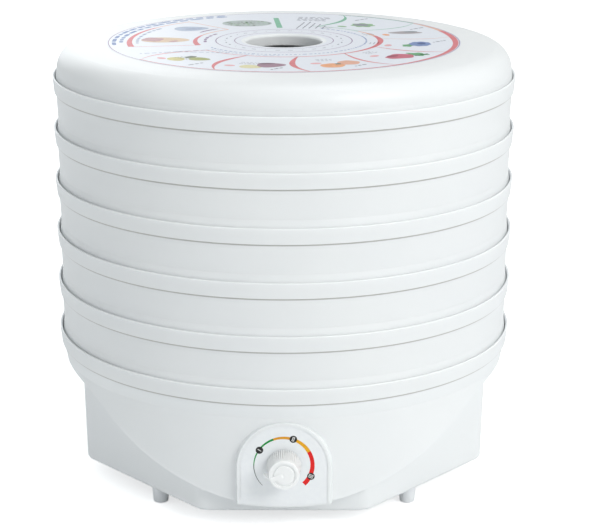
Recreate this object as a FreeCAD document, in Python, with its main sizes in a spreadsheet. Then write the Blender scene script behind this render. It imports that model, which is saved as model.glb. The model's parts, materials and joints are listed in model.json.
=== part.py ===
"""Food dehydrator: a lid, five stacking trays and a base with a fan, a heater and a dial.

Frame: millimetres, +Z up along the stack's axis, origin on that axis at floor level.
The front, with the dial, faces -Y.
"""

import FreeCAD, Part
import math
import os
import Sketcher

DRIVING_SIZES = [
    # stack
    ("tray_count", 5, "trays between the base and the lid"),
    ("tray_pitch", 43.5, "height that each tray adds"),
    ("base_line", 112.5, "lower edge of the base's collar, above the floor"),
    ("collar_tall", 13.0, "height of a collar"),
    ("rim_radius", 195.2, "outer radius of a collar at its rim"),
    ("collar_foot", 194.0, "outer radius of a collar at its lower edge"),
    ("rim_inside", 193.4, "inner radius of a collar at its rim"),
    ("seat_radius", 192.3, "inner radius of a collar at the seat"),
    ("seat_above", 1.0, "seat above the collar's lower edge"),
    ("wall_top", 192.3, "outer radius of a tray wall under its collar"),
    ("wall_low", 191.3, "outer radius of a tray wall above the collar below"),
    ("skirt_mouth", 191.9, "outer radius of a skirt level with the rim around it"),
    ("skirt_wide", 192.6, "largest outer radius of a skirt"),
    ("wall_thick", 1.9, "thickness of the moulded walls"),
    ("lift_gap", 0.3, "gap under a skirt that rests on a seat"),
    ("edge_round", 0.7, "rounding of a thin moulded edge"),
    # tray floor
    ("floor_tall", 3.2, "height of a tray's spokes"),
    ("spoke_wide", 2.4, "width of a spoke"),
    ("spoke_count", 32, "spokes of a tray"),
    ("ring_wide", 1.6, "width of a ring"),
    ("ring_tall", 2.4, "height of a ring"),
    ("ring_pitch", 14.0, "distance between rings"),
    ("ring_count", 11, "rings of a tray"),
    ("hub_radius", 20.0, "outer radius of a tray's hub"),
    ("hub_thick", 2.4, "thickness of a tray's hub"),
    # lid
    ("lid_rise", 38.2, "lid top above the top tray's collar line"),
    ("lid_thick", 2.2, "thickness of the lid"),
    ("lid_wall", 191.5, "outer radius of the lid's side"),
    ("lid_flat", 158.0, "radius of the lid's flat top"),
    ("lid_crown", 91.0, "radius of the gentle bend outside the flat top"),
    ("lid_shoulder", 18.3, "radius of the shoulder"),
    ("vent_radius", 32.2, "radius of the vent hole"),
    ("vent_deep", 9.5, "depth of the vent tube below the lid top"),
    ("vent_round", 2.4, "rounding of the vent's mouth"),
    ("label_radius", 148.8, "outer radius of the lid label"),
    ("label_hole", 36.0, "inner radius of the lid label"),
    ("film_thick", 0.25, "thickness of a printed film"),
    # base housing
    ("foot_tall", 13.0, "height of the feet"),
    ("block_half_wide", 172.0, "half width of the eight-sided block"),
    ("block_front", 174.0, "distance of the block's front face from the axis"),
    ("block_side_half", 58.0, "half length of the block's side faces"),
    ("block_front_half", 68.5, "half length of the block's front face"),
    ("block_draft", 1.3, "draft of the block's sides in degrees"),
    ("block_corner", 16.0, "rounding of the block's upright edges"),
    ("block_edge", 4.0, "rounding of the block's bottom edge"),
    ("pan_radius", 190.0, "outer radius of the pan and of its shields"),
    ("pan_under", 97.8, "underside of the pan above the floor"),
    ("swoop_radius", 220.0, "radius of the shield's lower edge seen from the front"),
    ("swoop_centre", 245.0, "height of that edge's centre"),
    ("blend_radius", 64.0, "radius where the swoop meets the pan's underside"),
    ("shell_wall", 2.2, "wall thickness of the base housing"),
    ("deck_level", 100.0, "underside of the deck"),
    ("deck_thick", 2.4, "thickness of the deck"),
    ("deck_radius", 187.0, "radius of the deck"),
    ("duct_radius", 64.0, "inner radius of the fan duct"),
    ("duct_low", 58.0, "lower edge of the fan duct"),
    ("post_radius", 5.0, "radius of the screw posts"),
    ("post_corner", 99.0, "corner posts from the axis, both ways"),
    ("post_side", 156.0, "side posts from the axis"),
    ("strap_post", 88.0, "posts of the motor strap from the axis"),
    ("foot_across", 103.0, "feet from the middle, sideways"),
    ("foot_along", 118.0, "feet from the middle, front to back"),
    ("foot_top", 7.25, "radius of a foot at its top"),
    ("foot_sole", 6.2, "radius of a foot at the floor"),
    ("slot_count", 24, "air slots in the floor of the housing"),
    ("screw_radius", 1.5, "radius of a self-tapping screw"),
    ("head_radius", 3.0, "radius of a screw head"),
    ("head_tall", 1.9, "height of a screw head"),
    # dial and regulator
    ("dial_level", 61.0, "dial centre above the floor"),
    ("pad_half", 37.2, "half width of the dial's pad"),
    ("pad_front", 191.6, "front of the pad from the axis"),
    ("pad_border", 2.6, "width of the pad's raised border"),
    ("pad_sunk", 0.6, "depth of the label's recess"),
    ("pad_draft", 14.0, "draft of the pad's sides in degrees"),
    ("knob_back", 192.2, "back of the knob from the axis"),
    ("knob_long", 20.5, "length of the knob"),
    ("knob_base", 14.0, "radius of the knob at its back"),
    ("knob_face", 12.0, "radius of the knob at its face"),
    ("knob_ribs", 48, "fine ribs round the knob"),
    ("knob_turn", 19.5, "pointer below the left horizontal in degrees"),
    ("spindle_radius", 3.0, "radius of the regulator's shaft"),
    ("bush_radius", 4.0, "radius of the regulator's threaded bush"),
    # motor, fan and heater
    ("shaft_radius", 1.6, "radius of the motor shaft"),
    ("running_gap", 0.04, "radial play of a shaft in its bearing"),
    ("rotor_radius", 12.9, "radius of the rotor"),
    ("rotor_hole", 13.3, "radius of the stator's hole"),
    ("stack_low", 26.0, "underside of the stator stack"),
    ("stack_tall", 20.0, "height of the stator stack"),
    ("stack_half", 26.0, "half width of the stator stack"),
    ("fan_radius", 59.0, "radius of the fan blades"),
    ("fan_hub", 13.0, "radius of the fan hub"),
    ("blade_count", 7, "fan blades"),
    ("blade_pitch", 32.0, "blade angle in degrees"),
    ("heater_level", 93.0, "height of the heater coils' centre line"),
    ("coil_radius", 2.6, "outer radius of the coiled heater wire"),
    ("mica_thick", 1.0, "thickness of a mica plate"),
    ("mica_low", 82.0, "lower edge of the mica plates"),
    ("shield_thick", 0.8, "thickness of the steel heat shield"),
    # cord gland
    ("gland_level", 46.0, "height of the cord gland"),
    ("gland_bore", 3.6, "inner radius of the cord gland"),
    ("gland_end", 208.0, "outer end of the gland from the axis"),
]

COIL_TURN_RADII = (24.0, 37.0, 50.0)
MICA_FINS = 6


class Size:
    """A number together with the sheet formula that gives it."""

    def __init__(self, value, formula):
        self.value = float(value)
        self.formula = formula

    def _join(self, sign, other, value):
        return Size(value, f"({self.formula} {sign} {formula_of(other)})")

    def __add__(self, other):
        return self._join("+", other, self.value + value_of(other))

    def __sub__(self, other):
        return self._join("-", other, self.value - value_of(other))

    def __mul__(self, other):
        return self._join("*", other, self.value * value_of(other))

    def __truediv__(self, other):
        return self._join("/", other, self.value / value_of(other))

    def __radd__(self, other):
        return self + other

    def __rmul__(self, other):
        return self * other

    def __rsub__(self, other):
        return (-self) + other

    def __neg__(self):
        return Size(-self.value, f"(0 - {self.formula})")


def value_of(size):
    return size.value if isinstance(size, Size) else float(size)


def formula_of(size):
    return size.formula if isinstance(size, Size) else f"({float(size)})"


def root(size):
    """Square root of a size."""
    return Size(math.sqrt(size.value), f"sqrt({size.formula})")


class Sizes:
    """The driving sizes by name, each bound to its cell of the sheet."""


def make_sheet(doc):
    sheet = doc.addObject("Spreadsheet::Sheet", "Dims")
    sizes = Sizes()
    for row, (alias, value, meaning) in enumerate(DRIVING_SIZES, start=1):
        sheet.set(f"A{row}", meaning)
        sheet.set(f"B{row}", str(value))
        sheet.setAlias(f"B{row}", alias)
        setattr(sizes, alias, Size(value, f"Dims.{alias}"))
    doc.recompute()
    return sizes


def bind(thing, prop, size):
    """Set a property to a size and keep it bound to the sheet."""
    setattr(thing, prop, value_of(size))
    if isinstance(size, Size):
        thing.setExpression(prop, size.formula)


def bind_count(thing, prop, size):
    """Set a whole-number property and keep it bound to the sheet."""
    setattr(thing, prop, int(size.value))
    thing.setExpression(prop, size.formula)


def put(thing, x=0, y=0, z=0, axis=(0, 0, 1), angle=0, prop="Placement"):
    """Place an object, with its position bound to the sheet."""
    spot = FreeCAD.Vector(value_of(x), value_of(y), value_of(z))
    turn = FreeCAD.Rotation(FreeCAD.Vector(*axis), value_of(angle))
    setattr(thing, prop, FreeCAD.Placement(spot, turn))
    for letter, size in zip("xyz", (x, y, z)):
        if isinstance(size, Size):
            thing.setExpression(f"{prop}.Base.{letter}", size.formula)
    return thing


# ---------------------------------------------------------------- sketches

def new_body(doc, name):
    body = doc.addObject("PartDesign::Body", name)
    body.Label = name
    return body


def sketch_on(body, role, name):
    plane = [item for item in body.Origin.OriginFeatures if item.Role == role][0]
    sketch = body.newObject("Sketcher::SketchObject", name)
    sketch.AttachmentSupport = [(plane, "")]
    sketch.MapMode = "FlatFace"
    return sketch


def arc_between(start, end, radius):
    """The short arc from start to end; a positive radius turns anticlockwise."""
    chord = end - start
    middle = (start + end) * 0.5
    left = FreeCAD.Vector(-chord.y, chord.x, 0).normalize()
    reach = math.sqrt(max(radius * radius - chord.Length ** 2 / 4, 0))
    centre = middle + left * (reach if radius > 0 else -reach)
    circle = Part.Circle(centre, FreeCAD.Vector(0, 0, 1), abs(radius))
    first, last = (start, end) if radius > 0 else (end, start)
    low = math.atan2(first.y - centre.y, first.x - centre.x)
    high = math.atan2(last.y - centre.y, last.x - centre.x)
    if high < low:
        high += 2 * math.pi
    return Part.ArcOfCircle(circle, low, high)


def draw(sketch, outline):
    """Draw a closed outline of points (x, y), or (x, y, radius) where an arc follows."""
    places = [FreeCAD.Vector(value_of(point[0]), value_of(point[1]), 0) for point in outline]
    edges = []
    for index, point in enumerate(outline):
        start = places[index]
        end = places[(index + 1) % len(places)]
        if len(point) == 3:
            edge = sketch.addGeometry(arc_between(start, end, value_of(point[2])), False)
            edges.append((edge, 1, 2) if value_of(point[2]) > 0 else (edge, 2, 1))
        else:
            edge = sketch.addGeometry(Part.LineSegment(start, end), False)
            edges.append((edge, 1, 2))
    for index, (edge, head, tail) in enumerate(edges):
        following, next_head, _ = edges[(index + 1) % len(edges)]
        join = Sketcher.Constraint("Coincident", edge, tail, following, next_head)
        sketch.addConstraint(join)
    for (edge, head, tail), point in zip(edges, outline):
        for kind, size in (("DistanceX", point[0]), ("DistanceY", point[1])):
            rule = Sketcher.Constraint(kind, -1, 1, edge, head, value_of(size))
            fix(sketch, rule, size)
        if len(point) == 3:
            rule = Sketcher.Constraint("Radius", edge, abs(value_of(point[2])))
            fix(sketch, rule, point[2] if value_of(point[2]) > 0 else -point[2])


def fix(sketch, rule, size):
    """Add a driving constraint, bound to the sheet when its size is."""
    number = sketch.addConstraint(rule)
    if isinstance(size, Size):
        sketch.setExpression(f"Constraints[{number}]", size.formula)


def revolve(body, name, outline):
    """Turn an outline of (radius, height) points about the Z axis."""
    profile = sketch_on(body, "XZ_Plane", f"{name}_profile")
    draw(profile, outline)
    turn = body.newObject("PartDesign::Revolution", name)
    turn.Profile = profile
    turn.ReferenceAxis = (profile, ["V_Axis"])
    turn.Angle = 360
    return turn


def revolved(doc, name, outline):
    body = new_body(doc, name)
    revolve(body, f"{name}_turn", outline)
    return body


def padded(doc, name, role, outline, length, midplane=False, taper=0):
    """Push an outline drawn on an origin plane out to a solid."""
    body = new_body(doc, name)
    sketch = sketch_on(body, role, f"{name}_outline")
    draw(sketch, outline)
    pad = body.newObject("PartDesign::Pad", f"{name}_pad")
    pad.Profile = sketch
    bind(pad, "Length", length)
    pad.Midplane = midplane
    if value_of(taper):
        bind(pad, "TaperAngle", taper)
    return body


def tube_outline(outer, inner, low, high):
    return [(inner, low), (outer, low), (outer, high), (inner, high)]


def rectangle(x_low, y_low, x_high, y_high):
    return [(x_low, y_low), (x_high, y_low), (x_high, y_high), (x_low, y_high)]


# ---------------------------------------------------------------- solids

def cylinder(doc, name, radius, tall):
    piece = doc.addObject("Part::Cylinder", name)
    bind(piece, "Radius", radius)
    bind(piece, "Height", tall)
    return piece


def box(doc, name, wide, deep, tall, x=0, y=0, z=0, angle=0):
    """A block centred on x and y that stands on z, turned about Z at its centre."""
    piece = doc.addObject("Part::Box", name)
    bind(piece, "Length", wide)
    bind(piece, "Width", deep)
    bind(piece, "Height", tall)
    swing = math.radians(value_of(angle))
    half_x = value_of(wide) / 2
    half_y = value_of(deep) / 2
    if angle:
        corner_x = x - half_x * math.cos(swing) + half_y * math.sin(swing)
        corner_y = y - half_x * math.sin(swing) - half_y * math.cos(swing)
    else:
        corner_x = x - wide / 2
        corner_y = y - deep / 2
    return put(piece, corner_x, corner_y, z, angle=angle)


def named(thing, name):
    thing.Label = name
    return thing


def fuse(doc, name, pieces):
    whole = doc.addObject("Part::MultiFuse", name)
    whole.Shapes = pieces
    whole.Label = name
    return whole


def group(doc, name, pieces):
    whole = doc.addObject("Part::Compound", name)
    whole.Links = pieces
    whole.Label = name
    return whole


def cut(doc, name, base, tool):
    left = doc.addObject("Part::Cut", name)
    left.Base = base
    left.Tool = tool
    left.Label = name
    return left


def common(doc, name, first, second):
    shared = doc.addObject("Part::MultiCommon", name)
    shared.Shapes = [first, second]
    return shared


def copies(doc, name, master, places):
    """One node that holds a copy of the master solid at each (x, y, z) place."""
    links = []
    for number, place in enumerate(places, start=1):
        link = doc.addObject("App::Link", f"{name}_{number}")
        link.LinkedObject = master
        put(link, *place, prop="LinkPlacement")
        links.append(link)
    return group(doc, name, links)


def corners(across, along):
    return [(side * across, end * along) for end in (-1, 1) for side in (-1, 1)]


# ---------------------------------------------------------------- stack

def wall_outline(d):
    """Section of a tray wall, with its collar's lower edge at height zero."""
    nested_rim = d.collar_tall - d.tray_pitch
    bottom = d.seat_above + d.lift_gap - d.tray_pitch
    rim = d.collar_tall
    thick = d.wall_thick
    rounding = d.edge_round
    return [
        (d.skirt_mouth - thick, bottom),
        (d.skirt_mouth, bottom),
        (d.skirt_wide, nested_rim - 4),
        (d.skirt_mouth, nested_rim),
        (d.wall_low, nested_rim + 6),
        (d.wall_top, -4),
        (d.wall_top + 0.5, -0.6),
        (d.collar_foot, 0),
        (d.rim_radius, rim - rounding, rounding),
        (d.rim_radius - rounding, rim),
        (d.rim_inside + rounding - 0.1, rim, rounding - 0.1),
        (d.rim_inside, rim - rounding + 0.1),
        (d.seat_radius, d.seat_above),
        (d.wall_top - thick, d.seat_above),
        (d.wall_top - thick, -4),
        (d.wall_low - thick, nested_rim + 6),
        (d.skirt_mouth - thick, nested_rim),
        (d.skirt_wide - thick, nested_rim - 4),
    ]


def make_tray(doc, d):
    """A tray at height zero: wall, spokes, rings and hub in one moulding."""
    body = new_body(doc, "tray")
    floor = 3.3 - d.tray_pitch
    wall = revolve(body, "tray_wall", wall_outline(d))
    sketch = sketch_on(body, "XY_Plane", "spoke_outline")
    half = d.spoke_wide / 2
    start = d.hub_radius - d.hub_thick / 2
    draw(sketch, rectangle(start, -half, d.wall_low - d.wall_thick / 2, half))
    sketch.AttachmentOffset.Base.z = floor.value
    sketch.setExpression("AttachmentOffset.Base.z", floor.formula)
    spoke = body.newObject("PartDesign::Pad", "spoke")
    spoke.Profile = sketch
    bind(spoke, "Length", d.floor_tall)
    spokes = body.newObject("PartDesign::PolarPattern", "spokes")
    spokes.Originals = [spoke]
    spokes.Axis = (wall.Profile[0], ["V_Axis"])
    spokes.Angle = 360
    bind_count(spokes, "Occurrences", d.spoke_count)
    body.Tip = spokes
    inside = d.hub_radius - d.hub_thick
    hub = revolve(body, "hub", tube_outline(d.hub_radius, inside, floor, floor + d.floor_tall))
    body.Tip = hub
    sketch = sketch_on(body, "XZ_Plane", "ring_outlines")
    for number in range(1, int(d.ring_count.value) + 1):
        radius = d.hub_radius + d.ring_pitch * number
        draw(sketch, rectangle(radius, floor, radius + d.ring_wide, floor + d.ring_tall))
    rings = body.newObject("PartDesign::Revolution", "rings")
    rings.Profile = sketch
    rings.ReferenceAxis = (sketch, ["V_Axis"])
    rings.Angle = 360
    body.Tip = rings
    return body


def make_trays(doc, d):
    master = make_tray(doc, d)
    count = int(d.tray_count.value)
    trays = []
    for number in range(1, count + 1):
        level = d.base_line + d.tray_pitch * (count + 1 - number)
        trays.append(copies(doc, f"tray_{number}", master, [(0, 0, level)]))
    return trays


def top_line(d):
    """Height of the top tray's collar line."""
    return d.base_line + d.tray_pitch * d.tray_count


def make_lid(doc, d):
    """The lid: skirt, side, shoulder, flat top and the tube of the vent."""
    line = top_line(d)
    top = line + d.lid_rise
    rim = line + d.collar_tall
    bottom = line + d.seat_above + d.lift_gap
    thick = d.lid_thick
    skirt = d.wall_thick
    run = d.lid_wall - d.lid_shoulder - d.lid_flat
    bend = d.lid_crown - d.lid_shoulder
    drop = root(bend * bend - run * run)
    shoulder = top - d.lid_crown + drop
    meet = d.lid_flat + d.lid_crown * run / bend
    meet_level = top - d.lid_crown + d.lid_crown * drop / bend
    crown_in = d.lid_crown - thick
    meet_in = d.lid_flat + crown_in * run / bend
    meet_in_level = top - d.lid_crown + crown_in * drop / bend
    tube = d.vent_radius + thick
    return revolved(doc, "lid", [
        (d.skirt_mouth - skirt, bottom),
        (d.skirt_mouth, bottom),
        (d.skirt_wide, rim - 4),
        (d.skirt_mouth + 0.2, rim + 0.4),
        (d.lid_wall, rim + 3),
        (d.lid_wall, shoulder, d.lid_shoulder),
        (meet, meet_level, d.lid_crown),
        (d.lid_flat, top),
        (d.vent_radius + d.vent_round, top, d.vent_round),
        (d.vent_radius, top - d.vent_round),
        (d.vent_radius, top - d.vent_deep),
        (tube, top - d.vent_deep),
        (tube, top - thick),
        (d.lid_flat, top - thick, -crown_in),
        (meet_in, meet_in_level, -(d.lid_shoulder - thick)),
        (d.lid_wall - thick, shoulder),
        (d.lid_wall - thick, rim + 3),
        (d.skirt_mouth + 0.2 - skirt, rim + 0.4),
        (d.skirt_wide - skirt, rim - 4),
    ])


def make_lid_label(doc, d):
    top = top_line(d) + d.lid_rise
    outline = tube_outline(d.label_radius, d.label_hole, top, top + d.film_thick)
    return revolved(doc, "lid_label", outline)


# ---------------------------------------------------------------- base housing

def swoop_region(doc, name, d, inset):
    """Everything above the shield's lower edge, as a slab that runs front to back."""
    radius = d.swoop_radius - inset
    blend = d.blend_radius + inset
    reach = d.swoop_radius + d.blend_radius
    level = d.pan_under + inset
    fall = d.swoop_centre - d.pan_under + d.blend_radius
    out = root(reach * reach - fall * fall)
    meet = out * d.swoop_radius / reach - out * inset / reach
    meet_level = d.swoop_centre - fall * radius / reach
    side = d.rim_radius + 10
    top = d.base_line + 30
    return padded(doc, name, "XZ_Plane", [
        (-side, top),
        (-side, level),
        (-out, level, -blend),
        (-meet, meet_level, radius),
        (meet, meet_level, -blend),
        (out, level),
        (side, level),
        (side, top),
    ], 500, midplane=True)


def octagon(d, inset):
    wide = d.block_half_wide - inset
    deep = d.block_front - inset
    side = d.block_side_half - inset * 0.4
    front = d.block_front_half - inset * 0.4
    return [
        (-front, -deep),
        (front, -deep),
        (wide, -side),
        (wide, side),
        (front, deep),
        (-front, deep),
        (-wide, side),
        (-wide, -side),
    ]


def block(doc, name, d, inset, low, edge=0):
    """The eight-sided block from its top down to low, narrowing downwards."""
    top = d.pan_under + 2
    body = padded(doc, name, "XY_Plane", octagon(d, inset), top - low, taper=-d.block_draft)
    pad = body.Tip
    pad.Reversed = True
    put(body, z=top)
    doc.recompute()
    upright = [
        f"Edge{number}"
        for number, line in enumerate(pad.Shape.Edges, start=1)
        if line.BoundBox.ZLength > (top - low).value * 0.9
    ]
    corner = body.newObject("PartDesign::Fillet", f"{name}_corners")
    corner.Base = (pad, upright)
    bind(corner, "Radius", d.block_corner - inset)
    body.Tip = corner
    if value_of(edge):
        doc.recompute()
        lowest = [
            f"Edge{number}"
            for number, line in enumerate(corner.Shape.Edges, start=1)
            if line.BoundBox.ZMax < 0.01 - (top - low).value
        ]
        foot = body.newObject("PartDesign::Fillet", f"{name}_edge")
        foot.Base = (corner, lowest)
        bind(foot, "Radius", edge)
        body.Tip = foot
    return body


def arch(half, low, centre):
    """Outline with straight sides and a round top of the same width."""
    return [
        (-half, low),
        (half, low),
        (half, centre, half),
        (0, centre + half, half),
        (-half, centre),
    ]


def make_pad(doc, d):
    """The raised pad under the dial, standing out of the front shield."""
    half = d.pad_half
    centre = d.dial_level - 1.7
    pad = padded(doc, "dial_pad", "XZ_Plane", arch(half, 10, centre), 14, taper=d.pad_draft)
    pad.Tip.Reversed = True
    put(pad, y=-d.pad_front)
    inner = half - d.pad_border
    recess = padded(doc, "pad_recess", "XZ_Plane", arch(inner, 10, centre), 4)
    put(recess, y=d.pad_sunk - d.pad_front)
    return pad, recess


def make_base_shell(doc, d):
    """The housing: collar, pan, two shields and the eight-sided block, open at the top."""
    line = d.base_line
    seat = line + d.seat_above
    rim = line + d.collar_tall
    rounding = d.edge_round
    join = d.pan_under + 2
    drum = revolved(doc, "drum", [(0, 20), (d.pan_radius - 0.5, 20), (d.pan_radius, join), (0, join)])
    collar = revolved(doc, "collar", [
        (0, join),
        (d.pan_radius, join),
        (d.wall_top, line - 4),
        (d.wall_top + 0.5, line - 0.6),
        (d.collar_foot, line),
        (d.rim_radius, rim - rounding, rounding),
        (d.rim_radius - rounding, rim),
        (d.rim_inside + rounding - 0.1, rim, rounding - 0.1),
        (d.rim_inside, rim - rounding + 0.1),
        (d.seat_radius, seat),
        (0, seat),
    ])
    pad, recess = make_pad(doc, d)
    swoop = swoop_region(doc, "swoop", d, 0)
    swept_drum = common(doc, "swept_drum", drum, swoop)
    swept_pad = common(doc, "swept_pad", cut(doc, "sunk_pad", pad, recess), swoop)
    lower = block(doc, "block", d, 0, d.foot_tall, d.block_edge)
    outside = fuse(doc, "outside", [swept_drum, collar, swept_pad, lower])
    wall = d.shell_wall
    hollow = revolved(doc, "drum_hollow", [
        (0, 20),
        (d.pan_radius - 0.5 - wall, 20),
        (d.pan_radius - wall, seat + 10),
        (0, seat + 10),
    ])
    swept_hollow = common(doc, "swept_hollow", hollow, swoop_region(doc, "swoop_in", d, wall))
    floor = d.foot_tall + wall + 0.4
    inner_block = block(doc, "inner_block", d, wall, floor)
    inside = fuse(doc, "inside", [swept_hollow, inner_block])
    shell = cut(doc, "open_shell", outside, inside)
    ledge = revolved(doc, "deck_ledge", tube_outline(d.pan_radius - 1, 184.5, d.deck_level - 2.2,
                                                     d.deck_level))
    posts = make_posts(doc, d, floor)
    holes = make_shell_holes(doc, d, floor)
    return cut(doc, "base_shell", fuse(doc, "full_shell", [shell, ledge, *posts]), holes)


def deck_posts(d):
    return corners(d.post_corner, d.post_corner) + [(-d.post_side, 0), (d.post_side, 0)]


def make_posts(doc, d, floor):
    """Posts that carry the deck and the motor strap, and short bosses over the feet."""
    start = floor - 1
    posts = []
    for number, (x, y) in enumerate(deck_posts(d), start=1):
        post = cylinder(doc, f"deck_post_{number}", d.post_radius, d.deck_level - start)
        posts.append(put(post, x, y, start))
    for number, side in enumerate((-1, 1), start=1):
        post = cylinder(doc, f"strap_post_{number}", d.post_radius, 50 - start)
        posts.append(put(post, side * d.strap_post, 0, start))
    for number, (x, y) in enumerate(corners(d.foot_across, d.foot_along), start=1):
        post = cylinder(doc, f"foot_boss_{number}", d.post_radius, 9.4)
        posts.append(put(post, x, y, start))
    return posts


def make_shell_holes(doc, d, floor):
    """Screw holes, air slots, the dial shaft's hole and the gland's hole."""
    tools = []
    for number, (x, y) in enumerate(deck_posts(d), start=1):
        hole = cylinder(doc, f"post_hole_{number}", d.screw_radius, 11)
        tools.append(put(hole, x, y, d.deck_level - 10))
    for number, side in enumerate((-1, 1), start=1):
        hole = cylinder(doc, f"strap_hole_{number}", d.screw_radius, 11)
        tools.append(put(hole, side * d.strap_post, 0, 40))
    for number, (x, y) in enumerate(corners(d.foot_across, d.foot_along), start=1):
        hole = cylinder(doc, f"foot_hole_{number}", d.screw_radius, 9.5)
        tools.append(put(hole, x, y, d.foot_tall - 0.5))
    for number in range(int(d.slot_count.value)):
        angle = 360 * number / d.slot_count.value
        swing = math.radians(angle)
        slot = box(doc, f"air_slot_{number + 1}", 26, 4, 10, 47 * math.cos(swing),
                   47 * math.sin(swing), 10, angle)
        tools.append(slot)
    shaft = cylinder(doc, "dial_hole", d.bush_radius + 0.1, 20)
    tools.append(put(shaft, 0, -180, d.dial_level, axis=(1, 0, 0), angle=90))
    gland = cylinder(doc, "gland_hole", 6, 20)
    tools.append(put(gland, 0, 200, d.gland_level, axis=(1, 0, 0), angle=90))
    return group(doc, "shell_holes", tools)


def make_deck(doc, d):
    """The round deck inside the collar, with the outlet, the duct and its screw holes."""
    low = d.deck_level
    top = low + d.deck_thick
    plate = revolved(doc, "deck_disc", [
        (d.duct_radius, d.duct_low),
        (d.duct_radius + 2, d.duct_low),
        (d.duct_radius + 2, low - 10),
        (d.duct_radius + 9, low - 10),
        (d.duct_radius + 9, low),
        (d.deck_radius, low),
        (d.deck_radius, top),
        (150, top),
        (148, top + 1.6),
        (146, top + 1.6),
        (144, top),
        (112, top),
        (110, top + 1.6),
        (108, top + 1.6),
        (106, top),
        (d.duct_radius, top),
    ])
    tools = []
    for number, (x, y) in enumerate(deck_posts(d), start=1):
        hole = cylinder(doc, f"deck_hole_{number}", d.screw_radius, 10)
        tools.append(put(hole, x, y, low - 2))
    for number, (x, y) in enumerate(grille_screw_places(d), start=1):
        hole = cylinder(doc, f"grille_hole_{number}", d.screw_radius, 14)
        tools.append(put(hole, x, y, low - 8))
    return cut(doc, "deck_plate", plate, group(doc, "deck_holes", tools))


def grille_screw_places(d):
    reach = (d.duct_radius + 5) * math.sqrt(0.5)
    return corners(reach, reach)


def make_grille(doc, d):
    """The slotted cover over the warm-air outlet."""
    low = d.deck_level + d.deck_thick
    thick = 2.0
    pieces = [revolved(doc, "grille_flange",
                       tube_outline(d.duct_radius + 9, d.duct_radius - 4, low, low + thick))]
    for number in range(1, 8):
        radius = 8.0 * number - 3
        pieces.append(revolved(doc, f"grille_ring_{number}",
                               tube_outline(radius + 2, radius if number > 1 else 0,
                                            low, low + thick)))
    for number in range(6):
        bar = box(doc, f"grille_bar_{number + 1}", (d.duct_radius - 3) * 2, 2.4, thick, 0, 0, low,
                  angle=15 + 30 * number)
        pieces.append(bar)
    holes = []
    for number, (x, y) in enumerate(grille_screw_places(d), start=1):
        hole = cylinder(doc, f"flange_hole_{number}", d.screw_radius, 6)
        holes.append(put(hole, x, y, low - 2))
    whole = fuse(doc, "grille_solid", pieces)
    return cut(doc, "air_grille", whole, group(doc, "flange_holes", holes))


def make_screw(doc, name, d, length, up=True):
    """A pan-head screw whose head sits on height zero, its shank on the other side."""
    sign = 1 if up else -1
    tall = d.head_tall
    outline = [
        (0, -sign * length),
        (d.screw_radius - 0.5, -sign * length),
        (d.screw_radius, -sign * (length - 2)),
        (d.screw_radius, 0),
        (d.head_radius, 0),
        (d.head_radius, sign * tall * 0.45),
        (d.head_radius * 0.6, sign * tall),
        (1.1, sign * tall),
        (0.4, sign * tall * 0.35),
        (0, sign * tall * 0.35),
    ]
    return revolved(doc, name, outline)


def make_foot(doc, d):
    """A rubber foot: a short cone with a rounded sole and a screw well."""
    return revolved(doc, "foot", [
        (3.4, 0),
        (d.foot_sole - 1, 0, 1),
        (d.foot_sole, 1),
        (d.foot_top, d.foot_tall),
        (d.screw_radius, d.foot_tall),
        (d.screw_radius, 7),
        (3.4, 7),
    ])


def make_feet(doc, d):
    master = make_foot(doc, d)
    names = ("front_left", "front_right", "rear_left", "rear_right")
    places = corners(d.foot_across, d.foot_along)
    return [
        copies(doc, f"foot_{name}", master, [(x, y, 0)])
        for name, (x, y) in zip(names, places)
    ]


def make_screws(doc, d):
    down = make_screw(doc, "screw_down", d, 10.0)
    deck_top = d.deck_level + d.deck_thick
    deck = [(x, y, deck_top) for x, y in deck_posts(d)]
    grille = [(x, y, deck_top + 2) for x, y in grille_screw_places(d)]
    strap = [(side * d.strap_post, 0, 52) for side in (-1, 1)]
    upward = make_screw(doc, "screw_up", d, 14.0, up=False)
    feet = [(x, y, 7) for x, y in corners(d.foot_across, d.foot_along)]
    return [
        copies(doc, "deck_screws", down, deck),
        copies(doc, "grille_screws", down, grille),
        copies(doc, "strap_screws", down, strap),
        copies(doc, "foot_screws", upward, feet),
    ]


# ---------------------------------------------------------------- dial and regulator

def make_dial_label(doc, d):
    inner = d.pad_half - d.pad_border - 0.2
    radius = d.swoop_radius
    edge = d.swoop_centre - root(radius * radius - inner * inner) + 1.2
    centre = d.dial_level - 1.7
    front = d.pad_front - d.pad_sunk
    film = padded(doc, "dial_film", "XZ_Plane", [
        (-inner, edge, radius),
        (inner, edge),
        (inner, centre, inner),
        (0, centre + inner, inner),
        (-inner, centre),
    ], d.film_thick)
    put(film, y=-front)
    hole = cylinder(doc, "film_hole", d.bush_radius + 0.1, 10)
    put(hole, 0, -185, d.dial_level, axis=(1, 0, 0), angle=90)
    return cut(doc, "dial_label", film, hole)


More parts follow.
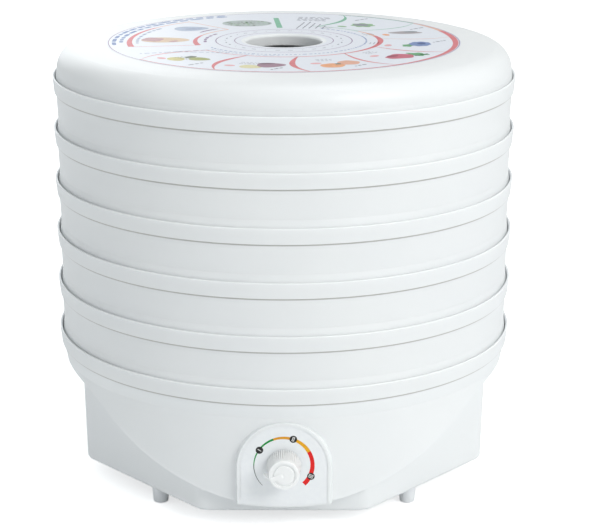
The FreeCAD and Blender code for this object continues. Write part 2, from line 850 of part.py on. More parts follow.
def make_knob(doc, d):
    """The dial knob: ribbed drum, sunk face ring, raised cap and a wedge pointer."""
    drum = new_body(doc, "knob_drum")
    long = d.knob_long
    turned = revolve(drum, "knob_turned", [
        (9.5, 0),
        (d.knob_base, 0),
        (d.knob_base, 1.5),
        (d.knob_base - 0.5, 2),
        (d.knob_face, long - 0.6, 0.6),
        (d.knob_face - 0.6, long),
        (d.knob_face - 2.4, long),
        (d.knob_face - 2.8, long - 1.2),
        (7.9, long - 1.2),
        (7.7, long - 0.5, 0.5),
        (7.2, long),
        (0, long),
        (0, 16),
        (d.spindle_radius, 16),
        (d.spindle_radius, 4),
        (9.5, 4),
    ])
    groove = sketch_on(drum, "XY_Plane", "rib_groove")
    outer = d.knob_base + 1
    draw(groove, [(d.knob_face - 0.25, 0), (outer, -0.75), (outer, 0.75)])
    pocket = drum.newObject("PartDesign::Pocket", "rib_cut")
    pocket.Profile = groove
    pocket.Reversed = True
    bind(pocket, "Length", long - 2.2)
    ribs = drum.newObject("PartDesign::PolarPattern", "ribs")
    ribs.Originals = [pocket]
    ribs.Axis = (turned.Profile[0], ["V_Axis"])
    ribs.Angle = 360
    bind_count(ribs, "Occurrences", d.knob_ribs)
    drum.Tip = ribs
    return drum


def make_pointer(doc, d):
    """Wedge from the knob's centre past its rim, in the knob's own frame."""
    long = d.knob_long
    tip = d.knob_base + 2.4
    return padded(doc, "knob_pointer", "XZ_Plane", [
        (-3, long - 4),
        (-tip, 5.5),
        (-tip, 9),
        (-tip + 1.5, 12),
        (-d.knob_face + 0.5, long + 0.9),
        (-2, long + 0.9),
        (-0.5, long),
        (-0.5, long - 4),
    ], 3.4, midplane=True)


def turned_to_front(thing, d, y):
    """Lay a piece built along +Z along -Y at the dial's centre, turned to the rest mark."""
    lay = FreeCAD.Rotation(FreeCAD.Vector(1, 0, 0), 90)
    turn = FreeCAD.Rotation(FreeCAD.Vector(0, 1, 0), -d.knob_turn.value)
    spot = FreeCAD.Vector(0, value_of(y), d.dial_level.value)
    thing.Placement = FreeCAD.Placement(spot, turn.multiply(lay))
    thing.setExpression("Placement.Base.z", d.dial_level.formula)
    if isinstance(y, Size):
        thing.setExpression("Placement.Base.y", y.formula)
    return thing


def make_dial(doc, d):
    knob = fuse(doc, "dial_knob", [make_knob(doc, d), make_pointer(doc, d)])
    turned_to_front(knob, d, -d.knob_back)
    spindle = named(cylinder(doc, "regulator_shaft", d.spindle_radius, 33), "regulator_shaft")
    turned_to_front(spindle, d, 17 - d.knob_back)
    return [knob, spindle]


def make_regulator(doc, d):
    """The heat regulator behind the pad: its case, the bush through the wall and the nut."""
    case = box(doc, "regulator_case", 27, 16.8, 25, 0, -178.4, d.dial_level - 12.5)
    bush = cylinder(doc, "regulator_bush", d.bush_radius, 13)
    put(bush, 0, -183, d.dial_level, axis=(1, 0, 0), angle=90)
    bore = cylinder(doc, "bush_bore", d.spindle_radius + d.running_gap, 24)
    put(bore, 0, -174, d.dial_level, axis=(1, 0, 0), angle=90)
    body = cut(doc, "regulator_body", fuse(doc, "case_and_bush", [case, bush]), bore)
    hexagon = doc.addObject("Part::Prism", "nut_hexagon")
    hexagon.Polygon = 6
    hexagon.Circumradius = 7.4
    hexagon.Height = 2.2
    put(hexagon, 0, d.pad_sunk + 0.3 - 0.6 - d.pad_front, d.dial_level, axis=(1, 0, 0), angle=90)
    thread = cylinder(doc, "nut_thread", d.bush_radius, 10)
    put(thread, 0, -188, d.dial_level, axis=(1, 0, 0), angle=90)
    nut = cut(doc, "regulator_nut", hexagon, thread)
    return [body, nut]


def make_board(doc, d):
    """The control board behind the regulator, with a capacitor and a triac on it."""
    low = d.dial_level - 20
    board = box(doc, "control_board", 52, 1.6, 40, 0, -169.2, low)
    capacitor = box(doc, "board_capacitor", 18, 9, 12, 13, -163.9, low + 6)
    triac_case = box(doc, "triac_case", 10, 4.4, 9, -14, -166.2, low + 8)
    triac_tab = box(doc, "triac_tab", 10, 1.3, 7, -14, -167.75, low + 17)
    triac = fuse(doc, "triac", [triac_case, triac_tab])
    return [named(board, "control_board"), named(capacitor, "capacitor"), triac]


# ---------------------------------------------------------------- motor, fan and heater

def make_stator(doc, d):
    """The laminated stack: rotor hole in front, limbs on both sides, a bar behind."""
    wide = d.stack_half * 2
    block_solid = box(doc, "stack_block", wide, 74, d.stack_tall, 0, 14, d.stack_low)
    window = box(doc, "stack_window", 28, 13, d.stack_tall + 2, 0, 26.5, d.stack_low - 1)
    notch = box(doc, "stack_notch", 28, 10, d.stack_tall + 2, 0, 48, d.stack_low - 1)
    rotor = cylinder(doc, "stack_hole", d.rotor_hole, d.stack_tall + 2)
    put(rotor, 0, 0, d.stack_low - 1)
    holes = [window, notch, rotor]
    for number, side in enumerate((-1, 1), start=1):
        hole = cylinder(doc, f"stack_screw_{number}", d.screw_radius, d.stack_tall + 2)
        holes.append(put(hole, side * 19, -14, d.stack_low - 1))
    return cut(doc, "motor_stator", block_solid, group(doc, "stack_holes", holes))


def make_bobbin(doc, d):
    """The plastic bobbin on the stack's bar and the copper wound on it."""
    low = d.stack_low
    bar = box(doc, "bobbin_bar", 60, 10, d.stack_tall, 0, 38, low)
    sleeve = box(doc, "bobbin_sleeve", 27.6, 13, d.stack_tall + 3, 0, 38, low - 1.5)
    flanges = [
        box(doc, f"bobbin_flange_{number}", 1.6, 24, d.stack_tall + 14, side * 13, 38, low - 7)
        for number, side in enumerate((-1, 1), start=1)
    ]
    bobbin = cut(doc, "motor_bobbin", fuse(doc, "bobbin_solid", [sleeve, *flanges]), bar)
    pack = box(doc, "winding_pack", 24.4, 22, d.stack_tall + 12, 0, 38, low - 6)
    core = box(doc, "winding_core", 30, 13, d.stack_tall + 3, 0, 38, low - 1.5)
    return [bobbin, cut(doc, "motor_winding", pack, core)]


def make_bracket(doc, d, name, face, sign):
    """A bearing bracket on one face of the stack, its cup pointing away from it."""
    turned = revolved(doc, f"{name}_cup", [
        (6, face),
        (9, face),
        (9, face + sign * 4),
        (6, face + sign * 4),
    ])
    low = face if sign > 0 else face - 1.2
    bar = box(doc, f"{name}_bar", 48, 12, 1.2, 0, 0, low)
    ears = [
        box(doc, f"{name}_ear_{number}", 10, 22, 1.2, side * 19, -8, low)
        for number, side in enumerate((-1, 1), start=1)
    ]
    bore = cylinder(doc, f"{name}_bore", 6, 20)
    put(bore, 0, 0, face - 10)
    holes = [bore]
    for number, side in enumerate((-1, 1), start=1):
        hole = cylinder(doc, f"{name}_hole_{number}", d.screw_radius, 10)
        holes.append(put(hole, side * 19, -14, face - 5))
    solid = fuse(doc, f"{name}_solid", [turned, bar, *ears])
    return cut(doc, name, solid, group(doc, f"{name}_holes", holes))


def make_motor(doc, d):
    low = d.stack_low
    high = low + d.stack_tall
    inner = d.shaft_radius + d.running_gap
    upper = make_bracket(doc, d, "upper_bracket", high, 1)
    lower = make_bracket(doc, d, "lower_bracket", low, -1)
    upper_bearing = revolved(doc, "upper_bearing", tube_outline(6, inner, high, high + 4))
    lower_bearing = revolved(doc, "lower_bearing", tube_outline(6, inner, low - 4, low))
    bolt = revolved(doc, "motor_bolt", [
        (0, low - 6),
        (d.screw_radius, low - 6),
        (d.screw_radius, high + 1.2),
        (d.head_radius, high + 1.2),
        (d.head_radius, high + 3.2),
        (0, high + 3.2),
    ])
    bolts = copies(doc, "motor_screws", bolt, [(-19, -14, 0), (19, -14, 0)])
    strap_bar = box(doc, "strap_bar", 190, 14, 2, 0, 0, 50)
    strap_hole = cylinder(doc, "strap_eye", 4, 10)
    put(strap_hole, 0, 0, 46)
    eyes = [strap_hole]
    for number, side in enumerate((-1, 1), start=1):
        eye = cylinder(doc, f"strap_eye_{number}", d.screw_radius, 10)
        eyes.append(put(eye, side * d.strap_post, 0, 46))
    strap = cut(doc, "motor_strap", strap_bar, group(doc, "strap_eyes", eyes))
    return [make_stator(doc, d), *make_bobbin(doc, d), upper, lower, upper_bearing,
            lower_bearing, bolts, strap]


def make_fan(doc, d):
    """Rotor, shaft, impeller and the nut that holds it."""
    low = d.stack_low + 1
    shaft = named(cylinder(doc, "motor_shaft", d.shaft_radius, 60), "motor_shaft")
    put(shaft, 0, 0, 20.5)
    rotor = revolved(doc, "motor_rotor", tube_outline(d.rotor_radius, d.shaft_radius, low,
                                                      low + d.stack_tall - 2))
    hub = revolved(doc, "fan_hub_solid", [
        (d.shaft_radius, 57),
        (d.fan_hub, 57),
        (d.fan_hub, 72, 4),
        (d.fan_hub - 4, 76),
        (d.shaft_radius, 76),
    ])
    blades = []
    for number in range(int(d.blade_count.value)):
        blade = doc.addObject("Part::Box", f"blade_{number + 1}")
        bind(blade, "Length", d.fan_radius - d.fan_hub + 2)
        blade.Width = 26
        blade.Height = 1.6
        swing = FreeCAD.Rotation(FreeCAD.Vector(0, 0, 1), 360 * number / d.blade_count.value)
        tilt = FreeCAD.Rotation(FreeCAD.Vector(1, 0, 0), d.blade_pitch.value)
        start = swing.multVec(FreeCAD.Vector(d.fan_hub.value - 2, 0, 0))
        shift = swing.multiply(tilt).multVec(FreeCAD.Vector(0, -13, -0.8))
        spot = start + shift + FreeCAD.Vector(0, 0, 66)
        blade.Placement = FreeCAD.Placement(spot, swing.multiply(tilt))
        blades.append(blade)
    disc = revolved(doc, "blade_sweep", tube_outline(d.fan_radius, d.fan_hub - 2, 56, 77))
    swept = common(doc, "blade_disc", fuse(doc, "blade_set", blades), disc)
    fan = fuse(doc, "fan_impeller", [hub, swept])
    nut = doc.addObject("Part::Prism", "fan_nut_hexagon")
    nut.Polygon = 6
    nut.Circumradius = 4
    nut.Height = 3
    put(nut, 0, 0, 76)
    thread = cylinder(doc, "fan_nut_thread", d.shaft_radius, 10)
    put(thread, 0, 0, 72)
    return [shaft, rotor, fan, cut(doc, "fan_nut", nut, thread)]


def make_heater(doc, d):
    """Mica fins, three rings of coiled wire, the steel shield and the thermal fuse."""
    level = d.heater_level
    outer = d.duct_radius - d.shield_thick
    fins = [revolved(doc, "mica_ring", tube_outline(10, 9, d.mica_low, level))]
    for number in range(MICA_FINS):
        angle = 360 * number / MICA_FINS
        swing = math.radians(angle)
        middle = (9.4 + outer.value) / 2
        fin = box(doc, f"mica_fin_{number + 1}", outer - 9.8, d.mica_thick, level - d.mica_low,
                  middle * math.cos(swing), middle * math.sin(swing), d.mica_low, angle)
        fins.append(fin)
    seats = []
    rings = []
    for number, radius in enumerate(COIL_TURN_RADII, start=1):
        ring = doc.addObject("Part::Torus", f"coil_ring_{number}")
        ring.Radius1 = radius
        bind(ring, "Radius2", d.coil_radius)
        rings.append(put(ring, 0, 0, level))
        seat = doc.addObject("Part::Torus", f"coil_seat_{number}")
        seat.Radius1 = radius
        bind(seat, "Radius2", d.coil_radius)
        seats.append(put(seat, 0, 0, level))
    frame = cut(doc, "heater_frame", fuse(doc, "mica_solid", fins), group(doc, "seats", seats))
    coil = group(doc, "heater_coil", rings)
    shield = revolved(doc, "heat_shield", tube_outline(d.duct_radius, outer, 78,
                                                       d.deck_level - 1))
    fuse_can = cylinder(doc, "fuse_can", 2, 11)
    put(fuse_can, 24.5, 2 + d.mica_thick / 2, d.mica_low + 3, axis=(0, 1, 0), angle=90)
    fuse_lead = cylinder(doc, "fuse_lead", 0.5, 19)
    put(fuse_lead, 20.5, 2 + d.mica_thick / 2, d.mica_low + 3, axis=(0, 1, 0), angle=90)
    thermal = fuse(doc, "thermal_fuse", [fuse_can, fuse_lead])
    return [frame, coil, shield, thermal]


# ---------------------------------------------------------------- wiring and gland

def make_gland(doc, d):
    """The bush in the rear wall that the mains cord goes through, and its nut."""
    bore = d.gland_bore
    gland = revolved(doc, "gland_turned", [
        (bore, 0),
        (6, 0),
        (6, 8.9),
        (9, 8.9),
        (9, 11.8),
        (6.4, 12.6),
        (5.2, d.gland_end - 181),
        (bore, d.gland_end - 181),
    ])
    holder = copies(doc, "cord_gland", gland, [(0, 0, 0)])
    put(holder, 0, 181, d.gland_level, axis=(1, 0, 0), angle=-90)
    hexagon = doc.addObject("Part::Prism", "gland_hexagon")
    hexagon.Polygon = 6
    hexagon.Circumradius = 9.5
    hexagon.Height = 4
    put(hexagon, 0, 187, d.gland_level, axis=(1, 0, 0), angle=90)
    thread = cylinder(doc, "gland_thread", 6, 10)
    put(thread, 0, 190, d.gland_level, axis=(1, 0, 0), angle=90)
    return [holder, cut(doc, "gland_nut", hexagon, thread)]


def make_terminals(doc, d):
    """The terminal block on the housing's floor and its three clamp screws."""
    floor = d.foot_tall + d.shell_wall + 0.4
    case = box(doc, "terminal_case", 34, 15, 13, 0, 140, floor)
    wells = []
    clamps = []
    for number, offset in enumerate((-10, 0, 10), start=1):
        well = cylinder(doc, f"terminal_well_{number}", 2.4, 9)
        wells.append(put(well, offset, 140, floor + 6))
        clamp = cylinder(doc, f"terminal_clamp_{number}", 2.4, 5)
        clamps.append(put(clamp, offset, 140, floor + 6))
    case = cut(doc, "terminal_block", case, group(doc, "terminal_wells", wells))
    return [case, group(doc, "terminal_screws", clamps)]


def wire_path(route):
    """Straight runs joined by tangent arcs, as large as the runs allow."""
    points = [FreeCAD.Vector(*point) for point in route]
    edges = []
    start = points[0]
    for before, corner, after in zip(points, points[1:], points[2:]):
        come = (before - corner).normalize()
        leave = (after - corner).normalize()
        turn = math.pi - come.getAngle(leave)
        cut_back = 0.45 * min((before - corner).Length, (after - corner).Length)
        radius = cut_back / math.tan(turn / 2)
        arc_start = corner + come * cut_back
        arc_end = corner + leave * cut_back
        inward = (come + leave).normalize()
        centre_far = math.hypot(radius, cut_back)
        arc_middle = corner + inward * (centre_far - radius)
        edges.append(Part.LineSegment(start, arc_start).toShape())
        edges.append(Part.Arc(arc_start, arc_middle, arc_end).toShape())
        start = arc_end
    edges.append(Part.LineSegment(start, points[-1]).toShape())
    return Part.Wire(edges)


def wire(doc, name, radius, route):
    """An insulated lead along a route."""
    path = wire_path(route)
    heading = FreeCAD.Vector(*route[1]) - FreeCAD.Vector(*route[0])
    ring = Part.Wire([Part.Circle(FreeCAD.Vector(*route[0]), heading, radius).toShape()])
    lead = doc.addObject("Part::Feature", name)
    lead.Label = name
    lead.Shape = path.makePipeShell([ring], True, False)
    return lead


def make_wires(doc):
    """Leads inside the housing, along its floor between the terminal block and their ends."""
    return [
        wire(doc, "lead_to_board", 1.3, [
            (-10, 132.4, 21), (-10, 118, 21), (-52, 106, 18), (-92, 72, 18), (-118, 20, 18),
            (-116, -36, 18), (-98, -88, 19), (-66, -124, 26), (-44, -144, 42), (-22, -152, 58),
            (-22, -168.3, 58),
        ]),
        wire(doc, "lead_to_heater", 1.3, [
            (10, 132.4, 21), (10, 118, 21), (52, 106, 18), (92, 72, 18), (118, 24, 18),
            (116, -30, 18), (96, -84, 20), (64, -120, 28), (42, -142, 48), (16, -150, 68),
            (16, -168.3, 68),
        ]),
        wire(doc, "lead_to_motor", 1.1, [
            (0, 132.4, 21), (0, 118, 21), (4, 100, 17.8), (12, 82, 18), (12, 68, 24),
            (6, 58, 32), (6, 49.1, 32),
        ]),
    ]


# ---------------------------------------------------------------- build

def build(doc):
    d = make_sheet(doc)
    parts = [make_lid(doc, d), make_lid_label(doc, d)]
    parts += make_trays(doc, d)
    parts += [make_base_shell(doc, d), make_deck(doc, d), make_grille(doc, d)]
    parts += make_feet(doc, d)
    parts += make_screws(doc, d)
    parts.append(make_dial_label(doc, d))
    parts += make_dial(doc, d)
    parts += make_regulator(doc, d)
    parts += make_board(doc, d)
    parts += make_motor(doc, d)
    parts += make_fan(doc, d)
    parts += make_heater(doc, d)
    parts += make_gland(doc, d)
    parts += make_terminals(doc, d)
    parts += make_wires(doc)
    doc.recompute()
    return parts


def check(doc, parts):
    """Stop if any object failed or any part is empty or invalid."""
    faults = [
        f"{thing.Name} failed: {thing.State}"
        for thing in doc.Objects
        if "Invalid" in thing.State or "Error" in thing.State
    ]
    for part in parts:
        if part.Shape.isNull() or not part.Shape.isValid() or not part.Shape.Solids:
            faults.append(f"{part.Label} has no valid solid")
    if faults:
        raise RuntimeError("; ".join(faults))


def main():
    doc = FreeCAD.newDocument("food_dehydrator")
    parts = build(doc)
    check(doc, parts)
    os.makedirs("parts", exist_ok=True)
    for part in parts:
        part.Shape.exportStep(os.path.join("parts", f"{part.Label}.step"))
        print(part.Label, len(part.Shape.Solids), round(part.Shape.Volume))


main()
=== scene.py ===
"""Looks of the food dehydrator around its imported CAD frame: finishes, prints, light and camera."""

import json
import math
import random

import bmesh
import bpy
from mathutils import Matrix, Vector


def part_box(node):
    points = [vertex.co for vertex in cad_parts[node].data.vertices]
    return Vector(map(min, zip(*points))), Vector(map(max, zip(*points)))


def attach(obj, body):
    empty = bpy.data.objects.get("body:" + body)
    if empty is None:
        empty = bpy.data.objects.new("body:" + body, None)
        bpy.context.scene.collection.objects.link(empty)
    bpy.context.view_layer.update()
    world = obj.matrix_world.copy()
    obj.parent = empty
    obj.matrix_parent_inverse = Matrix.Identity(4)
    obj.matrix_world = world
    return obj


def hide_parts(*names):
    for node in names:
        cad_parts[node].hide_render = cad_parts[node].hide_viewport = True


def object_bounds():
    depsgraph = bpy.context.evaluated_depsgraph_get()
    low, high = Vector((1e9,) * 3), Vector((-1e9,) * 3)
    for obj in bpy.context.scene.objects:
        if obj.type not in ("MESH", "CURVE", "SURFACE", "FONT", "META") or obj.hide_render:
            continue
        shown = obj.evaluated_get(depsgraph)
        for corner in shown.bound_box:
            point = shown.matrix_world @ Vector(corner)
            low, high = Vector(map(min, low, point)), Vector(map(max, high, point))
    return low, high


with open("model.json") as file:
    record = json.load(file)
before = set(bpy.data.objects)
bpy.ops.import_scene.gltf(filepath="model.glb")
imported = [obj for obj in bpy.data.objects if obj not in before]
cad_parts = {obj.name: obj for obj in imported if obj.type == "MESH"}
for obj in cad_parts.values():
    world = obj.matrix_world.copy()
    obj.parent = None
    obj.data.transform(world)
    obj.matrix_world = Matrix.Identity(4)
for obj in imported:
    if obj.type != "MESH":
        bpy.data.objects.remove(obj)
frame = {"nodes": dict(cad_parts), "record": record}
CAD_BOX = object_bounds()

MM = 0.001
SLOT_OF = {row["node"]: row["material_slot"] for row in frame["record"]["subparts"]}


# ---------------------------------------------------------------- camera and stage

CAMERA_PLACE = (0.0, -1.6256, 0.6422)
CAMERA_PITCH = 16.107
CAMERA_LENS = 116.48
CAMERA_SHIFT = 16 / 600


def make_camera():
    data = bpy.data.cameras.new("camera")
    data.lens = CAMERA_LENS
    data.sensor_width = 36.0
    data.shift_x = CAMERA_SHIFT
    data.clip_end = 50.0
    camera = bpy.data.objects.new("camera", data)
    camera.location = CAMERA_PLACE
    camera.rotation_euler = (math.radians(90 - CAMERA_PITCH), 0, 0)
    bpy.context.scene.collection.objects.link(camera)
    bpy.context.scene.camera = camera


def area_light(name, place, aim, size, watts, colour):
    data = bpy.data.lights.new(name, "AREA")
    data.shape = "DISK"
    data.size = size
    data.energy = watts
    data.color = colour
    lamp = bpy.data.objects.new(name, data)
    lamp.location = place
    lamp.rotation_euler = (Vector(aim) - Vector(place)).to_track_quat("-Z", "Y").to_euler()
    bpy.context.scene.collection.objects.link(lamp)


def make_world(light, shown):
    """A bluish sky that lights the object, seen by the camera itself as white paper."""
    world = bpy.data.worlds.new("studio")
    world.use_nodes = True
    tree = world.node_tree
    sky = tree.nodes["Background"]
    sky.inputs["Color"].default_value = (0.955, 0.985, 0.99, 1)
    sky.inputs["Strength"].default_value = light
    paper = tree.nodes.new("ShaderNodeBackground")
    paper.inputs["Color"].default_value = (1, 1, 1, 1)
    paper.inputs["Strength"].default_value = shown
    split = tree.nodes.new("ShaderNodeMixShader")
    rays = tree.nodes.new("ShaderNodeLightPath")
    tree.links.new(rays.outputs["Is Camera Ray"], split.inputs[0])
    tree.links.new(sky.outputs["Background"], split.inputs[1])
    tree.links.new(paper.outputs["Background"], split.inputs[2])
    tree.links.new(split.outputs["Shader"], tree.nodes["World Output"].inputs["Surface"])
    bpy.context.scene.world = world


def make_lights():
    """A large key from the front right, a soft top, a faint fill and a back light."""
    middle = (0, 0, 0.2)
    area_light("key", (1.9, -2.0, 1.9), middle, 1.6, 42, (1.0, 0.99, 0.97))
    area_light("top", (0.4, -0.2, 2.6), middle, 1.4, 12, (1.0, 1.0, 1.0))
    area_light("fill", (-2.2, -1.4, 1.0), middle, 2.0, 2.2, (0.92, 0.96, 1.0))
    area_light("back", (-1.0, 2.4, 1.1), middle, 1.8, 14, (0.95, 0.98, 1.0))
    make_world(0.58, 1.02)


# ---------------------------------------------------------------- materials

def srgb(red, green, blue):
    """Linear colour of a display colour given as 0 to 255."""
    def linear(level):
        level = level / 255
        return level / 12.92 if level <= 0.04045 else ((level + 0.055) / 1.055) ** 2.4
    return (linear(red), linear(green), linear(blue), 1.0)


class Finish:
    """A principled material and short ways to add its procedural detail."""

    def __init__(self, name):
        self.material = bpy.data.materials.new(name)
        self.material.use_nodes = True
        self.tree = self.material.node_tree
        self.shader = self.tree.nodes["Principled BSDF"]
        self.coords = self.tree.nodes.new("ShaderNodeTexCoord").outputs["Object"]

    def set(self, **sockets):
        for name, value in sockets.items():
            self.shader.inputs[name.replace("_", " ")].default_value = value
        return self

    def noise(self, scale, detail=3.0, stretch=(1, 1, 1)):
        mapping = self.tree.nodes.new("ShaderNodeMapping")
        mapping.inputs["Scale"].default_value = stretch
        self.tree.links.new(self.coords, mapping.inputs["Vector"])
        texture = self.tree.nodes.new("ShaderNodeTexNoise")
        texture.inputs["Scale"].default_value = scale
        texture.inputs["Detail"].default_value = detail
        self.tree.links.new(mapping.outputs["Vector"], texture.inputs["Vector"])
        return texture.outputs["Fac"]

    def ramp(self, factor, stops):
        node = self.tree.nodes.new("ShaderNodeValToRGB")
        elements = node.color_ramp.elements
        while len(elements) < len(stops):
            elements.new(0.5)
        for element, (place, colour) in zip(elements, stops):
            element.position = place
            element.color = colour
        self.tree.links.new(factor, node.inputs["Fac"])
        return node.outputs["Color"]

    def colour_by(self, factor, *stops):
        self.tree.links.new(self.ramp(factor, stops), self.shader.inputs["Base Color"])
        return self

    def rough_by(self, factor, low, high):
        node = self.tree.nodes.new("ShaderNodeMapRange")
        node.inputs["To Min"].default_value = low
        node.inputs["To Max"].default_value = high
        self.tree.links.new(factor, node.inputs["Value"])
        self.tree.links.new(node.outputs["Result"], self.shader.inputs["Roughness"])
        return self

    def bump(self, *layers):
        """Stack bumps: each layer is (height output, depth in metres)."""
        normal = None
        for height, depth in layers:
            node = self.tree.nodes.new("ShaderNodeBump")
            node.inputs["Strength"].default_value = 1.0
            node.inputs["Distance"].default_value = depth
            self.tree.links.new(height, node.inputs["Height"])
            if normal:
                self.tree.links.new(normal, node.inputs["Normal"])
            normal = node.outputs["Normal"]
        self.tree.links.new(normal, self.shader.inputs["Normal"])
        return self


MILKY_DEPTH = 0.004


def moulded(name, light, dark, rough=(0.34, 0.44), specular=0.45, grain=0.00002, spread=7.0,
            milky=0.0):
    """Injection-moulded plastic: faint cloudiness, a fine grain and soft flow waves.

    milky is how much light soaks in, from 0 to 1.
    """
    finish = Finish(name)
    finish.set(Specular_IOR_Level=specular, Subsurface_Weight=milky, Subsurface_Scale=MILKY_DEPTH,
               Subsurface_Radius=(1.0, 1.0, 1.0))
    cloud = finish.noise(spread, 2.0)
    finish.colour_by(cloud, (0.3, dark), (0.7, light))
    finish.rough_by(finish.noise(40.0, 2.0), *rough)
    finish.bump((finish.noise(14.0, 1.0), 0.0006), (finish.noise(1800.0, 2.0), grain))
    return finish.material


def metal(name, colour, dark, rough=(0.25, 0.42), stretch=(1, 1, 30), scale=60.0):
    """Bare metal with a drawn grain and darker handling marks."""
    finish = Finish(name)
    finish.set(Metallic=1.0)
    finish.colour_by(finish.noise(scale * 0.4, 4.0), (0.35, dark), (0.65, colour))
    grain = finish.noise(scale, 5.0, stretch)
    finish.rough_by(grain, *rough)
    finish.bump((grain, 0.00003))
    return finish.material


def printed(name, colour, dark=None, rough=0.42, scale=260.0):
    """Printing ink: slightly uneven density."""
    finish = Finish(name)
    finish.set(Specular_IOR_Level=0.4)
    finish.rough_by(finish.noise(120.0, 2.0), rough - 0.03, rough + 0.03)
    shade = dark or tuple(level * 0.82 for level in colour[:3]) + (1.0,)
    finish.colour_by(finish.noise(scale, 4.0), (0.3, shade), (0.62, colour))
    finish.bump((finish.noise(900.0, 1.0), 0.000004))
    return finish.material


def laminated(name):
    """Thin iron sheets stacked upwards."""
    finish = Finish(name)
    finish.set(Metallic=0.9)
    wave = finish.tree.nodes.new("ShaderNodeTexWave")
    wave.bands_direction = "Z"
    wave.inputs["Scale"].default_value = 320.0
    wave.inputs["Distortion"].default_value = 0.3
    finish.tree.links.new(finish.coords, wave.inputs["Vector"])
    finish.colour_by(wave.outputs["Fac"], (0.2, srgb(70, 70, 72)), (0.8, srgb(140, 142, 146)))
    finish.rough_by(finish.noise(90.0), 0.35, 0.6)
    finish.bump((wave.outputs["Fac"], 0.0001))
    return finish.material


def wound(name):
    """Enamelled copper wire laid side by side."""
    finish = Finish(name)
    finish.set(Metallic=1.0)
    wave = finish.tree.nodes.new("ShaderNodeTexWave")
    wave.bands_direction = "X"
    wave.inputs["Scale"].default_value = 420.0
    wave.inputs["Distortion"].default_value = 0.6
    finish.tree.links.new(finish.coords, wave.inputs["Vector"])
    finish.colour_by(wave.outputs["Fac"], (0.1, srgb(96, 38, 18)), (0.7, srgb(206, 118, 62)))
    finish.rough_by(finish.noise(120.0), 0.25, 0.4)
    finish.bump((wave.outputs["Fac"], 0.0002))
    return finish.material


def flecked_board(name):
    """Green solder mask over faint copper tracks."""
    finish = Finish(name)
    finish.set(Specular_IOR_Level=0.6)
    tracks = finish.tree.nodes.new("ShaderNodeTexBrick")
    tracks.inputs["Scale"].default_value = 160.0
    tracks.inputs["Color1"].default_value = srgb(22, 92, 48)
    tracks.inputs["Color2"].default_value = srgb(16, 76, 40)
    tracks.inputs["Mortar"].default_value = srgb(44, 122, 66)
    tracks.inputs["Mortar Size"].default_value = 0.03
    finish.tree.links.new(finish.coords, tracks.inputs["Vector"])
    finish.tree.links.new(tracks.outputs["Color"], finish.shader.inputs["Base Color"])
    finish.rough_by(finish.noise(80.0), 0.25, 0.4)
    finish.bump((tracks.outputs["Fac"], 0.00004))
    return finish.material


# Painted shade lines: a grey band in the wall's colour just under each collar's foot, where the
# collar's step shades the wall.
FIRST_COLLAR = 0.1125
COLLAR_PITCH = 0.0435
SHADE_LINE_DROP = 0.0006
SHADE_LINE_HALF = 0.0012


def housing_white(name, light, dark, collar_shade):
    """Slightly translucent white plastic with a painted shade line on the wall under the foot of
    each collar.
    """
    finish = Finish(name)
    finish.set(Specular_IOR_Level=0.45, Subsurface_Weight=0.5, Subsurface_Scale=MILKY_DEPTH,
               Subsurface_Radius=(1.0, 1.0, 1.0))
    tree = finish.tree
    height = tree.nodes.new("ShaderNodeSeparateXYZ")
    tree.links.new(finish.coords, height.inputs["Vector"])
    distance = height.outputs["Z"]
    # Height over the first painted shade line, held constant below it, then folded to the nearest
    # painted shade line.
    for operation, value in (
        ("SUBTRACT", FIRST_COLLAR - SHADE_LINE_DROP),
        ("MAXIMUM", -COLLAR_PITCH / 2),
        ("PINGPONG", COLLAR_PITCH / 2),
    ):
        step = tree.nodes.new("ShaderNodeMath")
        step.operation = operation
        step.inputs[1].default_value = value
        tree.links.new(distance, step.inputs[0])
        distance = step.outputs["Value"]
    # Mask of the painted shade line, strongest right under the collar's foot.
    line = tree.nodes.new("ShaderNodeMapRange")
    line.interpolation_type = "SMOOTHSTEP"
    line.inputs["From Min"].default_value = SHADE_LINE_HALF
    line.inputs["From Max"].default_value = 0.0
    tree.links.new(distance, line.inputs["Value"])
    cloud = finish.ramp(finish.noise(7.0, 2.0), ((0.3, dark), (0.7, light)))
    shade_paint = tree.nodes.new("ShaderNodeMix")
    shade_paint.data_type = "RGBA"
    shade_paint.inputs["B"].default_value = collar_shade
    tree.links.new(line.outputs["Result"], shade_paint.inputs["Factor"])
    tree.links.new(cloud, shade_paint.inputs["A"])
    tree.links.new(shade_paint.outputs["Result"], finish.shader.inputs["Base Color"])
    finish.rough_by(finish.noise(40.0, 2.0), 0.34, 0.44)
    finish.bump((finish.noise(14.0, 1.0), 0.0006), (finish.noise(1800.0, 2.0), 0.00002))
    return finish.material
